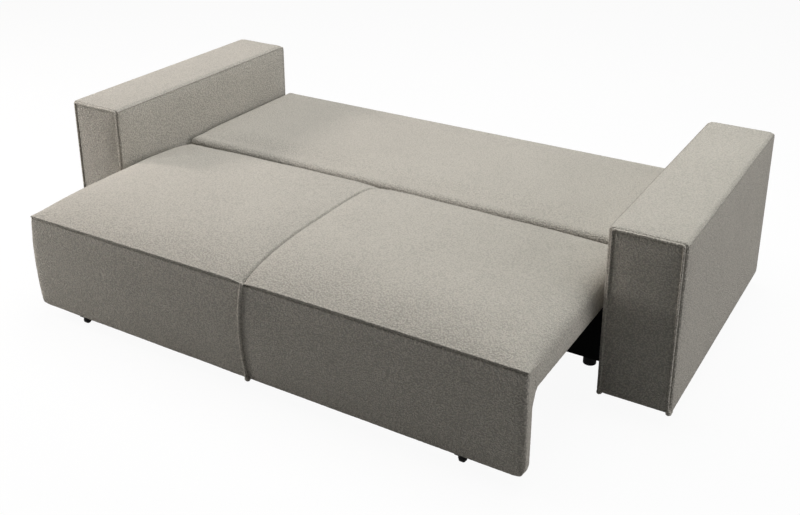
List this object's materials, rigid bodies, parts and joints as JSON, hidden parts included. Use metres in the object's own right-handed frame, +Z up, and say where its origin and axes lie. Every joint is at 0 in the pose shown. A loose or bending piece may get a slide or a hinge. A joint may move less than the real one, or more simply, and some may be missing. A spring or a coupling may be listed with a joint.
{
  "type": "sofa bed",
  "caption": "Sofa bed with block arms, shown opened flat: the seat with its front panel rolls out on rollers and the backrest folds down behind it to make a level bed.",
  "frame": {"origin": "on the floor, at the middle of the outline of the sofa bed opened flat", "axes": "+Z up, +Y from the front to the back, +X towards the arm that is on the right of someone facing the front"},
  "size_m": [2.466, 1.5545, 0.63],
  "materials": {
    "boucle": "curly pile, matte",
    "foam": "open-cell foam",
    "dust_cloth": "matte black cloth",
    "black_board": "matte black laminate",
    "black_plastic": "matte",
    "roller_plastic": "satin",
    "rubber": "matte",
    "timber": "raw",
    "steel": "zinc plated"
  },
  "bodies": {
    "base": {"arm_right_frame": "timber", "arm_left_frame": "timber", "arm_right_foam": "foam", "arm_left_foam": "foam", "arm_right_cover": "boucle", "arm_left_cover": "boucle", "arm_right_welt": "boucle", "arm_left_welt": "boucle", "arm_bolts": "steel", "arm_feet": "black_plastic", "box_front_board": "black_board", "box_rear_board": "black_board", "box_side_right": "black_board", "box_side_left": "black_board", "box_floor": "timber", "box_centre_beam": "timber", "runner_rail_right": "timber", "runner_rail_left": "timber", "running_strip_right": "steel", "running_strip_left": "steel", "box_feet": "black_plastic", "roller_stops": "rubber", "back_rest_pads": "rubber"},
    "seat": {"hinge_bolts": "steel", "seat_foam_right": "foam", "seat_foam_left": "foam", "seat_cover_right": "boucle", "seat_cover_left": "boucle", "hinge_plate_right": "steel", "hinge_plate_left": "steel", "pivot_pin_right": "steel", "pivot_pin_left": "steel", "seat_frame": "timber", "seat_dust_cover": "dust_cloth", "panel_board": "timber", "panel_foam_right": "foam", "panel_foam_left": "foam", "panel_cover_right": "boucle", "panel_cover_left": "boucle", "panel_seam_welt": "boucle", "panel_angles": "steel", "front_bracket_right": "steel", "front_bracket_left": "steel", "front_axles": "steel", "rear_bracket_right": "steel", "rear_bracket_left": "steel", "rear_axles": "steel", "seat_springs": "steel", "spring_clips": "steel"},
    "backrest": {"back_bush_right": "black_plastic", "back_bush_left": "black_plastic", "back_foam": "foam", "back_cover": "boucle", "back_dust_cover": "dust_cloth", "back_frame": "timber", "back_webbing": "dust_cloth"},
    "front_roller_right": {"front_roller_right": "roller_plastic"},
    "front_roller_left": {"front_roller_left": "roller_plastic"},
    "rear_roller_right": {"rear_roller_right": "roller_plastic"},
    "rear_roller_left": {"rear_roller_left": "roller_plastic"}
  },
  "joints": [
    {"name": "seat_slide", "type": "slide", "parent": "base", "child": "seat", "axis": [0, 1, 0], "range_m": [0, 0.485]},
    {"name": "back_fold", "type": "hinge", "parent": "seat", "child": "backrest", "pos_m": [0, 0.1602, 0.315], "axis": [1, 0, 0], "range_deg": [0, 90]},
    {"name": "front_roller_right_spin", "type": "hinge", "parent": "seat", "child": "front_roller_right", "pos_m": [0.76, -0.7448, 0.013], "axis": [1, 0, 0], "range_deg": [-2140, 0]},
    {"name": "front_roller_left_spin", "type": "hinge", "parent": "seat", "child": "front_roller_left", "pos_m": [-0.76, -0.7448, 0.013], "axis": [1, 0, 0], "range_deg": [-2140, 0]},
    {"name": "rear_roller_right_spin", "type": "hinge", "parent": "seat", "child": "rear_roller_right", "pos_m": [0.951, 0.0122, 0.1915], "axis": [1, 0, 0], "range_deg": [-1391, 0]},
    {"name": "rear_roller_left_spin", "type": "hinge", "parent": "seat", "child": "rear_roller_left", "pos_m": [-0.951, 0.0122, 0.1915], "axis": [1, 0, 0], "range_deg": [-1391, 0]}
  ],
  "couplings": [
    {"joint": "back_fold", "follows": "seat_slide", "rad_per_m": 3.2387},
    {"joint": "front_roller_right_spin", "follows": "seat_slide", "rad_per_m": -76.923},
    {"joint": "front_roller_left_spin", "follows": "seat_slide", "rad_per_m": -76.923},
    {"joint": "rear_roller_right_spin", "follows": "seat_slide", "rad_per_m": -50},
    {"joint": "rear_roller_left_spin", "follows": "seat_slide", "rad_per_m": -50}
  ]
}
